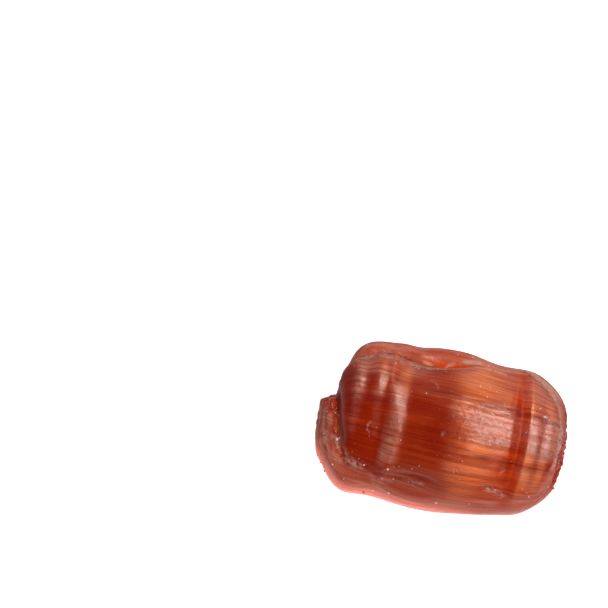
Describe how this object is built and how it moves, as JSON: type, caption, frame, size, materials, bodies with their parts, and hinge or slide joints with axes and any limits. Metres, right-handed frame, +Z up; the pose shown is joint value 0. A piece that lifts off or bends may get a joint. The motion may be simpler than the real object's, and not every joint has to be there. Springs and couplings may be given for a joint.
{
  "type": "root beer barrel candy",
  "caption": "Unwrapped barrel-shaped hard candy of pulled sugar: half-barrel prints with hoops above and below, a smooth belt between them and rough cut ends.",
  "frame": {"origin": "middle of the bounding box's underside, on the surface that the candy lies on", "axes": "+X along the barrel, towards the end without the lobe; +Y towards the side with the clear hollow; +Z up"},
  "size_m": [0.0254, 0.0166, 0.0128],
  "materials": {
    "candy": "boiled, pulled sugar: red-brown and slightly see-through, with a satin streak along the barrel under a worn gloss, dusted with sugar"
  },
  "bodies": {
    "root": {"candy": "candy"}
  },
  "joints": []
}
